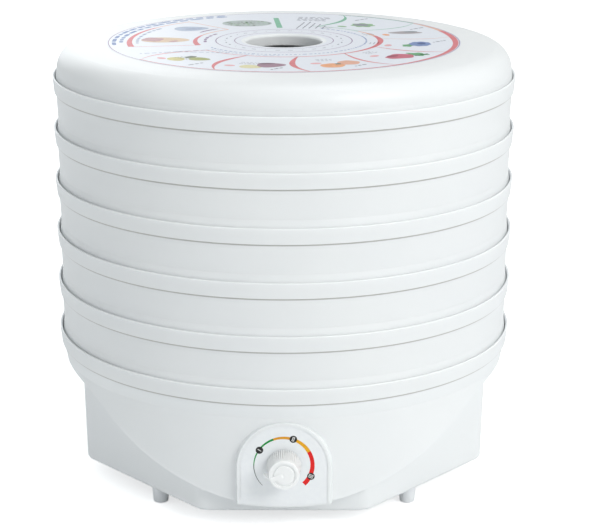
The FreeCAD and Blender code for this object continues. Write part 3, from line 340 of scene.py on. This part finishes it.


# The last colour is the grey of the painted shade under each collar.
WHITE = housing_white("white_plastic", srgb(238, 241, 242), srgb(234, 237, 239),
                      srgb(170, 168, 163))
KNOB_WHITE = moulded("knob_plastic", srgb(243, 244, 244), srgb(239, 241, 241), (0.28, 0.38),
                     milky=0.7)
FINISHES = {
    "white_plastic": WHITE,
    "knob_plastic": KNOB_WHITE,
    "printed_label": printed("printed_label", srgb(228, 232, 240), srgb(225, 229, 238), 0.36),
    "rubber_foot": moulded("rubber_foot", srgb(238, 240, 242), srgb(228, 231, 234), (0.6, 0.8),
                           0.3, 0.00008, 60.0),
    "steel": metal("steel", srgb(196, 198, 202), srgb(160, 162, 166)),
    "dark_plastic": moulded("dark_plastic", srgb(48, 49, 52), srgb(34, 35, 38), (0.4, 0.55)),
    "circuit_board": flecked_board("circuit_board"),
    "capacitor_case": moulded("capacitor_case", srgb(214, 176, 60), srgb(200, 158, 44)),
    "motor_iron": laminated("motor_iron"),
    "bobbin_plastic": moulded("bobbin_plastic", srgb(226, 222, 206), srgb(214, 208, 190)),
    "copper_wire": wound("copper_wire"),
    "bearing_bronze": metal("bearing_bronze", srgb(190, 150, 92), srgb(140, 104, 58)),
    "mica": moulded("mica", srgb(204, 190, 160), srgb(176, 158, 124), (0.5, 0.7), 0.5, 0.00008,
                    140.0),
    "heater_wire": metal("heater_wire", srgb(120, 116, 114), srgb(74, 66, 62), (0.45, 0.65)),
    "shield_steel": metal("shield_steel", srgb(204, 206, 208), srgb(170, 172, 176)),
    "gland_plastic": moulded("gland_plastic", srgb(226, 228, 230), srgb(214, 217, 219),
                             (0.45, 0.6)),
    "terminal_plastic": moulded("terminal_plastic", srgb(232, 231, 220), srgb(220, 218, 206)),
    "lead_brown": moulded("lead_brown", srgb(110, 66, 40), srgb(92, 52, 30)),
    "lead_blue": moulded("lead_blue", srgb(60, 96, 160), srgb(44, 78, 140)),
}


NODE_FINISHES = {
    "dial_label": printed("dial_paper", srgb(238, 241, 243), srgb(235, 238, 241), 0.3),
}


# ---------------------------------------------------------------- meshes

def new_piece(name, mesh, material, body):
    piece = bpy.data.objects.new(name, mesh)
    bpy.context.scene.collection.objects.link(piece)
    piece.data.materials.clear()
    piece.data.materials.append(material)
    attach(piece, body)
    return piece


def dress(node):
    """Give a CAD node the finish of its material slot."""
    shown = frame["nodes"][node]
    finish = NODE_FINISHES.get(node) or FINISHES[SLOT_OF[node]]
    for place in shown.material_slots:
        place.link = "OBJECT"
        place.material = finish


SKIRT_LEVEL = 0.013
SKIRT_SLACK = 0.0004
SKIRT_SNUG = 0.00085
SKIRT_BAND = (0.1915, 0.1923)


def snug(node, collar):
    """A tray or the lid with its skirt pressed out towards the rim around it, front and rear."""
    mesh = frame["nodes"][node].data.copy()
    mesh.name = f"{node}_snug_mesh"
    level = collar + SKIRT_LEVEL
    for vertex in mesh.vertices:
        x, y, z = vertex.co
        radius = math.hypot(x, y)
        if abs(z - level) < SKIRT_SLACK and SKIRT_BAND[0] < radius < SKIRT_BAND[1]:
            grow = 1 + SKIRT_SNUG * (y / radius) ** 2 / radius
            vertex.co = (x * grow, y * grow, z)
    piece = new_piece(f"{node}_snug", mesh, FINISHES[SLOT_OF[node]], node)
    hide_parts(node)


class Flat:
    """A flat print built from outlines on a plane, all at one height."""

    def __init__(self, name, place):
        self.name = name
        self.place = place
        self.shape = bmesh.new()

    def polygon(self, points):
        corners = [self.shape.verts.new(self.place(x, y)) for x, y in points]
        self.shape.faces.new(corners)

    def strip(self, pairs):
        """A band between pairs of points, such as its two edges."""
        rows = [
            (self.shape.verts.new(self.place(*one)), self.shape.verts.new(self.place(*two)))
            for one, two in pairs
        ]
        for (a, b), (c, d) in zip(rows, rows[1:]):
            self.shape.faces.new((a, b, d, c))

    def arc(self, start, end, inner, outer, step=2.0):
        """A ring piece from start to end degrees; radii may be functions of 0 to 1."""
        count = max(2, int(abs(end - start) / step) + 1)
        pairs = []
        for index in range(count + 1):
            part = index / count
            angle = math.radians(start + (end - start) * part)
            low = inner(part) if callable(inner) else inner
            high = outer(part) if callable(outer) else outer
            pairs.append((polar(low, angle), polar(high, angle)))
        self.strip(pairs)

    def done(self, material, body, slot="printed_label"):
        bmesh.ops.recalc_face_normals(self.shape, faces=self.shape.faces)
        mesh = bpy.data.meshes.new(f"{self.name}_mesh")
        self.shape.to_mesh(mesh)
        self.shape.free()
        piece = new_piece(self.name, mesh, material, body)
        return piece


def polar(radius, angle):
    return (radius * math.cos(angle), radius * math.sin(angle))


def moved(point, right, back):
    return (point[0] + right, point[1] + back)


def turned(point, angle, centre):
    x, y = point
    return (
        centre[0] + x * math.cos(angle) - y * math.sin(angle),
        centre[1] + x * math.sin(angle) + y * math.cos(angle),
    )


# ---------------------------------------------------------------- lid label

LABEL_LOW, LABEL_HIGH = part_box("lid_label")
LABEL_RADIUS = LABEL_HIGH.x / MM
LABEL_HOLE = 36.0
PAPER_LEVEL = LABEL_LOW.z + 0.10 * MM
PAPER_EDGE = PAPER_LEVEL - 0.02 * MM
PAPER_SIDES = 180
PRINT_STEP = 0.03 * MM
SECTOR_INNER = 79.0
SECTOR_OUTER = 144.5
BAND_EDGE = SECTOR_OUTER + 2.2
FIRST_DIVIDER = -142.0
SECTOR_ANGLE = 30.0
DIVIDER_BULGE = 4.6
DIVIDER_STEPS = 18
VENT_TICKS = 30
VENT_TICK_RADIUS = 49.5
BADGE_LONG = 9
BADGE_WIDE = 6
TIME_ROWS = 3
TIME_ROW_PITCH = 3.2
NAME_RADIUS = 131.0
NAME_ANGLE = 20.0
NAME_HEADING = 43.0
NAME_LONG = 16.0


def on_lid(layer):
    level = PAPER_LEVEL + PRINT_STEP * layer
    return lambda x, y: (x * MM, y * MM, level)


def make_paper():
    """The label's own sheet, with a thin edge."""
    shape = bmesh.new()
    rings = []
    for radius, level in (
        (LABEL_HOLE, LABEL_LOW.z),
        (LABEL_HOLE, PAPER_EDGE),
        (LABEL_HOLE + 0.05, PAPER_LEVEL),
        (LABEL_RADIUS - 0.1, PAPER_LEVEL),
        (LABEL_RADIUS - 0.05, PAPER_EDGE),
        (LABEL_RADIUS - 0.05, LABEL_LOW.z),
    ):
        ring = []
        for index in range(PAPER_SIDES):
            x, y = polar(radius * MM, math.radians(360 / PAPER_SIDES * index))
            ring.append(shape.verts.new((x, y, level)))
        rings.append(ring)
    for one, two in zip(rings, rings[1:] + rings[:1]):
        for index in range(PAPER_SIDES):
            after = (index + 1) % PAPER_SIDES
            shape.faces.new((one[index], one[after], two[after], two[index]))
    bmesh.ops.recalc_face_normals(shape, faces=shape.faces)
    mesh = bpy.data.meshes.new("label_paper_mesh")
    shape.to_mesh(mesh)
    shape.free()
    paper = new_piece("label_paper", mesh, FINISHES["printed_label"], "lid")
    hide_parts("lid_label")


def divider(flat, angle, width, inner=SECTOR_INNER, outer=SECTOR_OUTER):
    """A curved crescent between two sectors, thick in its middle."""
    pairs = []
    for index in range(DIVIDER_STEPS + 1):
        part = index / DIVIDER_STEPS
        bulge = DIVIDER_BULGE * 4 * part * (1 - part)
        radius = inner + (outer - inner) * part
        half = width * (0.22 + 0.78 * math.sin(math.pi * part)) / 2
        turn = math.radians(angle - bulge)
        spread = half / radius
        pairs.append((polar(radius, turn - spread), polar(radius, turn + spread)))
    flat.strip(pairs)


def rounded_bar(flat, centre, angle, long, tall):
    """A short bar with round ends, like a word in a line of small print."""
    points = []
    for side, start in ((1, -90), (-1, 90)):
        for index in range(5):
            turn = math.radians(start + 45 * index)
            x = side * (long - tall) / 2 + tall / 2 * math.cos(turn)
            points.append(turned((x, tall / 2 * math.sin(turn)), angle, centre))
    flat.polygon(points)


def bar_line(flat, rng, radius, start, end, tall, gap=2.2, words=(3.0, 9.0)):
    """Bars of uneven length along an arc."""
    angle = start
    while angle < end:
        long = rng.uniform(*words)
        span = math.degrees(long / radius)
        if angle + span > end:
            break
        middle = math.radians(angle + span / 2)
        rounded_bar(flat, polar(radius, middle), middle + math.pi / 2, long, tall)
        angle += span + math.degrees(gap / radius)


def straight_bars(flat, rng, start, heading, length, tall, gap=1.6, words=(2.0, 6.0)):
    """Bars of uneven length along a straight line."""
    angle = math.radians(heading)
    run = 0.0
    while run < length:
        long = rng.uniform(*words)
        x, y = turned((run + long / 2, 0), angle, start)
        rounded_bar(flat, (x, y), angle, long, tall)
        run += long + gap


def blob(flat, centre, angle, long, wide, lobes=0, depth=0.0, taper=0.0, points=40):
    """A closed rounded outline: an ellipse, lobed like a cut fruit or drawn out to a tip."""
    outline = []
    for index in range(points):
        turn = 2 * math.pi * index / points
        reach = 1 + depth * math.cos(lobes * turn)
        x = long / 2 * reach * math.cos(turn)
        y = wide / 2 * reach * math.sin(turn) * (1 - taper * math.cos(turn))
        outline.append(turned((x, y), angle, centre))
    flat.polygon(outline)


# One row per sector from the front left, anticlockwise: the ink and width of its divider, the
# ink, radius and angle of its badge, and its produce. Produce is an ink, the radius and angle of
# its middle, its length along the ring and width across it, its turn, lobes, their depth, taper.
SECTORS = [
    ("red", 1.8, ("badge", 130, -139), [
        ("straw", 124, -134, 17, 14, -20, 0, 0, 0.15), ("olive", 110, -133, 8, 11, 0, 5, 0.1, 0),
        ("moss", 112, -127, 18, 13, 20, 0, 0, 0.25)]),
    ("red", 4.4, ("badge", 125, -110), [
        ("cream", 126, -102, 18, 14, -10, 0, 0, 0.2), ("plum", 117, -95, 23, 19, 10, 3, 0.04, 0.2),
        ("plum_dark", 111, -97, 13, 6, 10, 0, 0, 0.2)]),
    ("red", 4.8, ("badge", 112, -77), [
        ("peach", 124, -72, 20, 18, 0, 5, 0.03, 0), ("orange", 117, -64, 18, 18, 0, 5, 0.04, 0),
        ("olive", 119, -69, 5, 5, 0, 5, 0.15, 0)]),
    ("red", 2.8, ("badge", 105, -46), [
        ("leaf", 127, -32, 13, 18, 10, 5, 0.2, 0), ("beet", 121, -40, 26, 19, -10, 5, 0.06, -0.3),
        ("beet_dark", 116, -41, 12, 7, 0, 0, 0, 0)]),
    ("red", 2.2, ("badge", 90, -16), [
        ("leaf", 106, -14, 12, 9, 0, 5, 0.15, 0), ("blue", 115, -9, 22, 18, 0, 8, 0.05, 0),
        ("blue_dark", 116, -8, 9, 7, 0, 6, 0.1, 0)]),
    ("orange", 1.2, ("peach", 92, 18), [
        ("bark", 112, 21, 13, 28, -18, 4, 0.05, 0.2), ("grey", 118, 22, 7, 12, -18, 0, 0, 0)]),
    ("green", 1.6, ("leaf_pale", 89, 55), [
        ("leaf_pale", 106, 49, 21, 19, 0, 7, 0.12, 0), ("grey", 106, 50, 15, 12, 0, 7, 0.1, 0)]),
]
INKS = {
    "red": (219, 118, 124),
    "orange": (229, 172, 148),
    "green": (122, 186, 156),
    "purple": (150, 122, 158),
    "blue": (112, 138, 188),
    "blue_dark": (58, 84, 140),
    "blue_grey": (160, 172, 198),
    "small_print": (136, 138, 152),
    "badge": (232, 170, 174),
    "straw": (214, 206, 138),
    "moss": (160, 166, 88),
    "olive": (104, 116, 96),
    "cream": (222, 216, 168),
    "plum": (158, 120, 138),
    "plum_dark": (112, 78, 98),
    "peach": (238, 168, 122),
    "beet": (200, 96, 118),
    "beet_dark": (158, 62, 86),
    "leaf": (96, 164, 112),
    "leaf_pale": (140, 184, 136),
    "bark": (168, 160, 164),
    "grey": (140, 146, 152),
    "speckle": (178, 190, 188),
    "meat": (196, 152, 156),
    "dough": (222, 196, 166),
    "fish": (176, 188, 210),
}


# Parts of the bands inside and outside the sectors: start, end, ink, width at start and at end.
INNER_BANDS = [
    (-144, -60, "red", 1.0, 1.6),
    (-60, 2, "red", 1.6, 5.0),
    (2, 16, "red", 5.0, 3.4),
    (16, 36, "orange", 3.2, 1.4),
    (36, 72, "green", 1.3, 1.0),
]
OUTER_BANDS = [
    (-142, -60, "red", 0.9, 1.8),
    (-60, 4, "red", 1.8, 5.2),
    (4, 20, "red", 5.2, 4.2),
    (20, 38, "orange", 3.8, 1.6),
    (38, 70, "green", 1.5, 1.1),
]
# Thin rings: ink, radius and width.
RINGS = [
    ("purple", 41.7, 0.7),
    ("purple", 57.5, 0.8),
    ("purple", LABEL_RADIUS - 1.2, 0.7),
]
# Lines of small print round the vent: ink, radius, start, end and height.
VENT_LINES = [
    ("blue", 69.5, -150, 66, 1.5),
    ("blue_grey", 74.5, -143, -92, 1.3),
]
# Arcs of the wide sectors at the left: ink, start, end, radii, and how far each edge moves out.
LEFT_ARCS = [
    ("red", 150, 194, 128.6, 130.6, 1.0, 2.2),
    ("orange", 131, 150, 128.8, 130.2, 0.0, 0.0),
    ("red", 160, 198, 73.6, 75.4, 1.0, 2.2),
    ("orange", 131, 160, 73.8, 75.2, 0.0, 0.0),
]
# Title lines there: ink, radius, start, end, height, gap and the length of a word.
LEFT_LINES = [
    ("blue", 143.0, 112, 191, 3.4, 2.6, (6.0, 16.0)),
    ("blue", 137.0, 112, 191, 3.4, 2.6, (6.0, 16.0)),
    ("blue_grey", 123.5, 150, 191, 2.6, 2.2, (4.0, 10.0)),
    ("purple", 66.5, 150, 190, 2.6, 1.8, (4.0, 9.0)),
]
# Ovals there: ink, layer, radius, angle, turn, length, width, lobes, their depth and taper.
LEFT_OVALS = [
    ("dough", 1, 101, 179, 0, 41, 25, 3, 0.04, 0.0),
    ("meat", 2, 111, 178, 0.4, 18, 19, 4, 0.08, 0.0),
    ("meat", 2, 93, 183, 0.9, 9, 6, 3, 0.10, 0.0),
    ("fish", 1, 101, 143, math.radians(10), 30, 23, 0, 0.0, 0.3),
    ("blue_grey", 2, 99, 143, 0.3, 16, 8, 0, 0.0, 0.4),
]
HERB_MIDDLE = (96, math.radians(110))
HERB_LONG = 44
HERB_WIDE = 34
HERB_FLECKS = 70
HERB_SPREAD = (20, 15)
HERB_INKS = ("olive", "grey", "leaf_pale")


class Prints:
    """Flat prints on the lid, one piece for each ink and layer."""

    def __init__(self):
        self.flats = {}

    def __call__(self, ink, layer=1):
        key = (ink, layer)
        if key not in self.flats:
            self.flats[key] = Flat(f"print_{ink}_{layer}", on_lid(layer))
        return self.flats[key]

    def done(self):
        inks = {}
        for (ink, _), flat in self.flats.items():
            if ink not in inks:
                inks[ink] = printed(f"ink_{ink}", srgb(*INKS[ink]))
            flat.done(inks[ink], "lid")


def print_sector(prints, rng, start, ink, width, badge, produce):
    """A divider, the produce, its badge with rows of small print, and its name as bars."""
    divider(prints(ink), start, width)
    for layer, (ink, radius, angle, long, wide, turn, lobes, depth, taper) in enumerate(produce):
        centre = polar(radius, math.radians(angle))
        heading = math.radians(angle + 90 + turn)
        blob(prints(ink, 1 + layer), centre, heading, long, wide, lobes, depth, taper)
    ink, radius, angle = badge
    blob(prints(ink), polar(radius, math.radians(angle)), math.radians(angle + 90),
         BADGE_LONG, BADGE_WIDE)
    for row in range(TIME_ROWS):
        bar_line(prints("small_print"), rng, radius - 10 - TIME_ROW_PITCH * row, angle + 2,
                 angle + 10, 1.0, 1.0, (1.4, 3.6))
    name_middle = polar(NAME_RADIUS, math.radians(start + NAME_ANGLE))
    name_start = turned((-NAME_LONG / 2, 0), math.radians(NAME_HEADING), name_middle)
    straight_bars(prints("small_print"), rng, name_start, NAME_HEADING, NAME_LONG - 3, 2.0, 0.9)


def print_bands(prints):
    """The bands inside and outside the sectors, widening towards the right."""
    for start, end, ink, first, last in INNER_BANDS:
        prints(ink).arc(start, end, SECTOR_INNER,
                        lambda part: SECTOR_INNER + first + (last - first) * part)
    for start, end, ink, first, last in OUTER_BANDS:
        prints(ink).arc(start, end, lambda part: BAND_EDGE - first - (last - first) * part,
                        BAND_EDGE)


def print_rings(prints, rng):
    """The thin rings, the bands, the ticks round the vent and the lines of small print there."""
    for ink, radius, width in RINGS:
        prints(ink).arc(0.0, 360.0, radius - width / 2, radius + width / 2)
    print_bands(prints)
    for number in range(VENT_TICKS):
        angle = math.radians(360 / VENT_TICKS * number)
        long = 4.0 if number % 3 else 1.4
        centre = polar(VENT_TICK_RADIUS, angle)
        rounded_bar(prints("small_print"), centre, angle + math.pi / 2, long, 1.2)
    for ink, radius, start, end, tall in VENT_LINES:
        bar_line(prints(ink), rng, radius, start, end, tall, 1.4, (1.6, 4.4))


def print_herbs(prints, rng):
    """An oval of scattered flecks."""
    middle = polar(*HERB_MIDDLE)
    blob(prints("speckle"), middle, 0, HERB_LONG, HERB_WIDE)
    for _ in range(HERB_FLECKS):
        reach = rng.uniform(0, 1) ** 0.5
        turn = rng.uniform(0, 2 * math.pi)
        spot = moved(middle, HERB_SPREAD[0] * reach * math.cos(turn),
                     HERB_SPREAD[1] * reach * math.sin(turn))
        ink = rng.choice(HERB_INKS)
        blob(prints(ink, 2), spot, turn, rng.uniform(1.5, 4.0), rng.uniform(1.0, 2.2), points=10)


def print_left(prints, rng):
    """The two wide sectors at the left with their arcs, edges, title lines and ovals."""
    for ink, start, end, low, high, inward, outward in LEFT_ARCS:
        prints(ink).arc(start, end, lambda part: low - inward * part,
                        lambda part: high + outward * part)
    edge = [polar(130, math.radians(-165.5)), polar(74, math.radians(-161.0))]
    prints("red").strip([edge, [moved(point, 0, 0.9) for point in edge]])
    back = [polar(131, math.radians(131)), polar(74, math.radians(131))]
    prints("orange").strip([back, [moved(point, 0.9, 0.6) for point in back]])
    for ink, radius, start, end, tall, gap, words in LEFT_LINES:
        bar_line(prints(ink), rng, radius, start, end, tall, gap, words)
    for ink, layer, radius, angle, turn, long, wide, lobes, depth, taper in LEFT_OVALS:
        centre = polar(radius, math.radians(angle))
        blob(prints(ink, layer), centre, turn, long, wide, lobes, depth, taper)
    prints("purple").arc(134, 151, 82.0, lambda part: 83.4 + 1.6 * math.sin(math.pi * part))
    print_herbs(prints, rng)
    for row in range(2):
        start = polar(134 - 30 * row, math.radians(-151 + 3 * row))
        straight_bars(prints("blue_grey"), rng, start, 18 - 26 * row, 58 - 14 * row, 1.8)


def print_back(prints, rng):
    """The plain sector at the back: a green bar, a block of small print and slanted rules."""
    prints("green").strip([(polar(121, math.radians(92.4)), polar(121, math.radians(94.6))),
                           (polar(66, math.radians(91.0)), polar(66, math.radians(95.4)))])
    for row in range(5):
        start = polar(126 - 4.4 * row, math.radians(84))
        straight_bars(prints("small_print"), rng, start, -10, 26, 2.0)
    for row in range(5):
        start = polar(62 + 2 * row, math.radians(80 - 4.6 * row))
        straight_bars(prints("small_print"), rng, start, 78, 34 - 5 * row, 1.2, 0.8, (5, 9))
    divider(prints("green"), FIRST_DIVIDER + SECTOR_ANGLE * 7, 4.0)


def make_lid_prints():
    rng = random.Random(7)
    prints = Prints()
    for number, (ink, width, badge, produce) in enumerate(SECTORS):
        start = FIRST_DIVIDER + SECTOR_ANGLE * number
        print_sector(prints, rng, start, ink, width, badge, produce)
    print_rings(prints, rng)
    print_left(prints, rng)
    print_back(prints, rng)
    prints.done()


# ---------------------------------------------------------------- dial prints

SHAFT_LOW, SHAFT_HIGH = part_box("regulator_shaft")
DIAL_CENTRE = (0.0, (SHAFT_LOW.z + SHAFT_HIGH.z) / 2 / MM)
DIAL_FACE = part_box("dial_label")[0].y
SCALE_RADIUS = 24.3
DISC_RING = SCALE_RADIUS - 1.0
DISC_RADIUS = 3.0
DISC_ANGLES = (146.5, 71.6, -23.6)
STROKE_PITCH = 1.15
# Parts of the scale: ink, start, end, width at start and at end.
SCALE_PARTS = [
    ("black", 225, 180, 0.3, 0.6),
    ("green", 180, 111, 0.7, 1.8),
    ("orange", 111, 71, 1.8, 2.4),
    ("yellow", 71, 30, 2.4, 3.1),
    ("red", 30, -45, 3.1, 3.8),
]
SCALE_INKS = {
    "black": (36, 36, 36),
    "green": (0, 148, 62),
    "orange": (226, 156, 22),
    "yellow": (240, 174, 10),
    "red": (232, 16, 8),
    "white": (240, 240, 238),
}


def on_dial(layer):
    level = DIAL_FACE - 0.03 * MM * layer
    return lambda x, y: ((x + DIAL_CENTRE[0]) * MM, level, (y + DIAL_CENTRE[1]) * MM)


def numeral(flat, angle, strokes):
    """Upright strokes between two short bars, pointing away from the dial's centre."""
    turn = math.radians(angle)
    centre = polar(DISC_RING, turn)
    for number in range(strokes):
        offset = (number - (strokes - 1) / 2) * STROKE_PITCH
        x, y = turned((0, offset), turn, centre)
        rounded_bar(flat, (x, y), turn, 3.4, 0.55)
    if strokes > 1:
        for end in (-1.6, 1.6):
            x, y = turned((end, 0), turn, centre)
            rounded_bar(flat, (x, y), turn + math.pi / 2, STROKE_PITCH * strokes, 0.4)


def make_dial_prints():
    inks = {name: printed(f"dial_{name}", srgb(*colour), scale=700.0)
            for name, colour in SCALE_INKS.items()}
    for name, start, end, first, last in SCALE_PARTS:
        flat = Flat(f"dial_scale_{name}", on_dial(1))
        flat.arc(start, end, lambda part: SCALE_RADIUS - first - (last - first) * part,
                 SCALE_RADIUS)
        flat.done(inks[name], "base")
    discs = Flat("dial_discs", on_dial(2))
    marks = Flat("dial_numerals", on_dial(3))
    for strokes, angle in enumerate(DISC_ANGLES, start=1):
        centre = polar(DISC_RING, math.radians(angle))
        blob(discs, centre, 0, DISC_RADIUS * 2, DISC_RADIUS * 2)
        numeral(marks, angle, strokes)
    discs.done(inks["black"], "base")
    marks.done(inks["white"], "base")


# ---------------------------------------------------------------- heater coil

WIRE_RADIUS = 0.35 * MM
WINDING_PITCH = 1.9 * MM
RING_PITCH = 13 * MM
POINTS_A_TURN = 8


def make_heater_coil():
    """Resistance wire wound into a long spring and bent into three rings."""
    low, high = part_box("heater_coil")
    level = (low.z + high.z) / 2
    reach = (high.z - low.z) / 2
    curve = bpy.data.curves.new("heater_wire_curve", "CURVE")
    curve.dimensions = "3D"
    curve.bevel_depth = WIRE_RADIUS
    curve.bevel_resolution = 1
    outer = high.x - reach
    for radius in (outer, outer - RING_PITCH, outer - 2 * RING_PITCH):
        turns = int(2 * math.pi * radius / WINDING_PITCH)
        steps = turns * POINTS_A_TURN
        line = curve.splines.new("POLY")
        line.points.add(steps - 1)
        for index in range(steps):
            around = 2 * math.pi * index / steps
            wind = around * turns
            spread = radius + (reach - WIRE_RADIUS) * math.cos(wind)
            height = level + (reach - WIRE_RADIUS) * math.sin(wind)
            x, y = polar(spread, around)
            line.points[index].co = (x, y, height, 1)
        line.use_cyclic_u = True
    holder = bpy.data.objects.new("heater_wire_holder", curve)
    bpy.context.scene.collection.objects.link(holder)
    bpy.context.view_layer.update()
    mesh = bpy.data.meshes.new_from_object(holder)
    bpy.data.objects.remove(holder)
    mesh.shade_smooth()
    piece = new_piece("heater_wire_rings", mesh, FINISHES["heater_wire"], "base")
    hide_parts("heater_coil")


# ---------------------------------------------------------------- floor

FLOOR_RADIUS = 9.0
FLOOR_DROP = 0.0005
FLOOR_GLOW_ON_OBJECT = 0.0
FLOOR_GLOW_SHOWN = 0.6


def make_floor():
    """Pale paper under the object; its glow shows to the camera and doesn't light the object."""
    shape = bmesh.new()
    bmesh.ops.create_circle(shape, cap_ends=True, segments=96, radius=FLOOR_RADIUS)
    mesh = bpy.data.meshes.new("floor_mesh")
    shape.to_mesh(mesh)
    shape.free()
    floor = bpy.data.objects.new("floor", mesh)
    floor.location = (0, 0, CAD_BOX[0][2] - FLOOR_DROP)
    finish = Finish("floor_paper")
    finish.set(Specular_IOR_Level=0.1, Emission_Color=(1, 1, 1, 1))
    finish.rough_by(finish.noise(5.0, 2.0), 0.86, 0.94)
    finish.bump((finish.noise(200.0, 2.0), 0.00002))
    rays = finish.tree.nodes.new("ShaderNodeLightPath")
    glow = finish.tree.nodes.new("ShaderNodeMapRange")
    glow.inputs["To Min"].default_value = FLOOR_GLOW_ON_OBJECT
    glow.inputs["To Max"].default_value = FLOOR_GLOW_SHOWN
    finish.tree.links.new(rays.outputs["Is Camera Ray"], glow.inputs["Value"])
    finish.tree.links.new(glow.outputs["Result"], finish.shader.inputs["Emission Strength"])
    finish.colour_by(finish.noise(3.0, 2.0), (0.3, srgb(243, 244, 245)),
                     (0.7, srgb(246, 247, 248)))
    mesh.materials.append(finish.material)
    bpy.context.scene.collection.objects.link(floor)


# ---------------------------------------------------------------- build

STACK = ["tray_5", "tray_4", "tray_3", "tray_2", "tray_1", "lid"]
REPLACED = {"lid_label", "heater_coil", *STACK}

make_camera()
make_lights()
make_floor()
for name in sorted(frame["nodes"]):
    if name not in REPLACED:
        dress(name)
for number, name in enumerate(STACK):
    snug(name, FIRST_COLLAR + COLLAR_PITCH * number)
make_paper()
make_lid_prints()
make_dial_prints()
make_heater_coil()
bpy.context.scene.view_settings.view_transform = "Standard"
